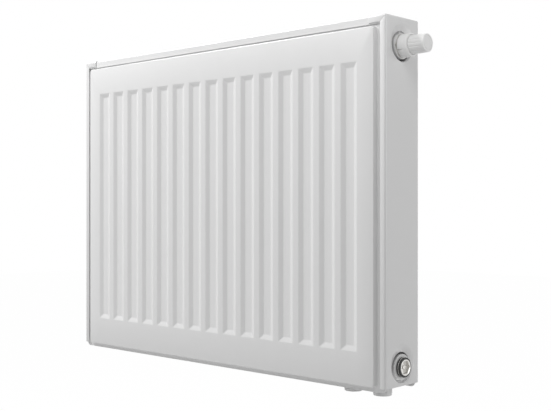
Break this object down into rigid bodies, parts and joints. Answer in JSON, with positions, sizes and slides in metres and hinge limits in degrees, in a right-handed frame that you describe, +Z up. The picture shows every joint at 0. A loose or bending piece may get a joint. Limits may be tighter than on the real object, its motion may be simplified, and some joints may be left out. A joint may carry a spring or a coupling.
{
  "type": "panel radiator with valve",
  "caption": "Wall-hung steel panel radiator with side covers, slotted top grille, built-in valve with a hand knob, air vent, drain plug and bottom pipe connections.",
  "frame": {"origin": "centre of the four hanging lugs' slots, on the lug plates' face that meets the wall", "axes": "+X along the radiator towards the valve end, +Y back towards the wall, +Z up"},
  "size_m": [0.7093, 0.092, 0.5116],
  "materials": {
    "painted_white": "smooth white stove enamel, semi-gloss",
    "spring_steel": "zinc-plated spring steel",
    "nickel_brass": "nickel-plated brass, turned",
    "plain_brass": "turned brass",
    "stainless": "drawn stainless steel",
    "black_rubber": "matt black sealing rubber",
    "knob_plastic": "white moulded plastic, satin",
    "cap_plastic": "white moulded plastic, matt"
  },
  "bodies": {
    "radiator": {"front_panel_outer_sheet": "painted_white", "front_panel_inner_sheet": "painted_white", "rear_panel_inner_sheet": "painted_white", "rear_panel_outer_sheet": "painted_white", "convector_fins": "painted_white", "top_grille": "painted_white", "grille_clips": "spring_steel", "lug_upper_left": "painted_white", "lug_upper_right": "painted_white", "lug_lower_left": "painted_white", "lug_lower_right": "painted_white", "return_tee": "painted_white", "valve_tee": "painted_white", "vent_tee": "painted_white", "blind_tee": "painted_white", "riser_pipe": "painted_white", "connection_bracket": "painted_white", "supply_stub": "painted_white", "return_stub": "painted_white", "valve_insert_body": "nickel_brass", "insert_nose_oring": "black_rubber", "pusher_guide": "plain_brass", "valve_collar": "knob_plastic", "drain_plug_body": "nickel_brass", "plug_inner_seal": "black_rubber", "plug_outer_ring": "black_rubber", "blind_plug_left": "nickel_brass", "blind_plug_seal": "black_rubber", "vent_body": "nickel_brass", "vent_seal": "black_rubber"},
    "right_cover": {"side_cover_right": "painted_white", "cover_clips_right": "spring_steel"},
    "left_cover": {"side_cover_left": "painted_white", "cover_clips_left": "spring_steel"},
    "presetting": {"presetting_sleeve": "plain_brass", "gland_nut": "plain_brass", "gland_oring": "black_rubber"},
    "stem": {"valve_spindle": "stainless", "valve_disc": "plain_brass", "valve_disc_seal": "black_rubber", "knob_pusher": "knob_plastic", "valve_spring": "stainless"},
    "knob": {"valve_knob": "knob_plastic"},
    "vent_nozzle": {"vent_nozzle_ring": "cap_plastic"},
    "vent_key_screw": {"vent_screw": "nickel_brass", "vent_screw_oring": "black_rubber"},
    "cap_supply": {"supply_cap": "cap_plastic"},
    "cap_return": {"return_cap": "cap_plastic"}
  },
  "joints": [
    {"name": "knob_turn", "type": "hinge", "parent": "radiator", "child": "knob", "pos_m": [0.328, -0.0505, 0.2153], "axis": [-1, 0, 0], "range_deg": [0, 720]},
    {"name": "stem_travel", "type": "slide", "parent": "radiator", "child": "stem", "axis": [-1, 0, 0], "range_m": [0, 0.003], "deforming": ["valve_spring"]},
    {"name": "presetting_turn", "type": "hinge", "parent": "radiator", "child": "presetting", "pos_m": [0.328, -0.0505, 0.2153], "axis": [-1, 0, 0], "range_deg": [0, 315]},
    {"name": "vent_screw_turn", "type": "hinge", "parent": "radiator", "child": "vent_key_screw", "pos_m": [-0.328, -0.0505, 0.2153], "axis": [-1, 0, 0], "range_deg": [0, 360]},
    {"name": "vent_nozzle_turn", "type": "hinge", "parent": "radiator", "child": "vent_nozzle", "pos_m": [-0.328, -0.0505, 0.2153], "axis": [-1, 0, 0], "continuous": true},
    {"name": "supply_cap_pull", "type": "slide", "parent": "radiator", "child": "cap_supply", "axis": [0, 0, -1], "range_m": [0, 0.025]},
    {"name": "return_cap_pull", "type": "slide", "parent": "radiator", "child": "cap_return", "axis": [0, 0, -1], "range_m": [0, 0.025]},
    {"name": "right_cover_pull", "type": "slide", "parent": "radiator", "child": "right_cover", "axis": [1, 0, 0], "range_m": [0, 0.045]},
    {"name": "left_cover_pull", "type": "slide", "parent": "radiator", "child": "left_cover", "axis": [-1, 0, 0], "range_m": [0, 0.045]}
  ],
  "couplings": [
    {"joint": "stem_travel", "follows": "knob_turn", "m_per_rad": 0.00023873}
  ]
}
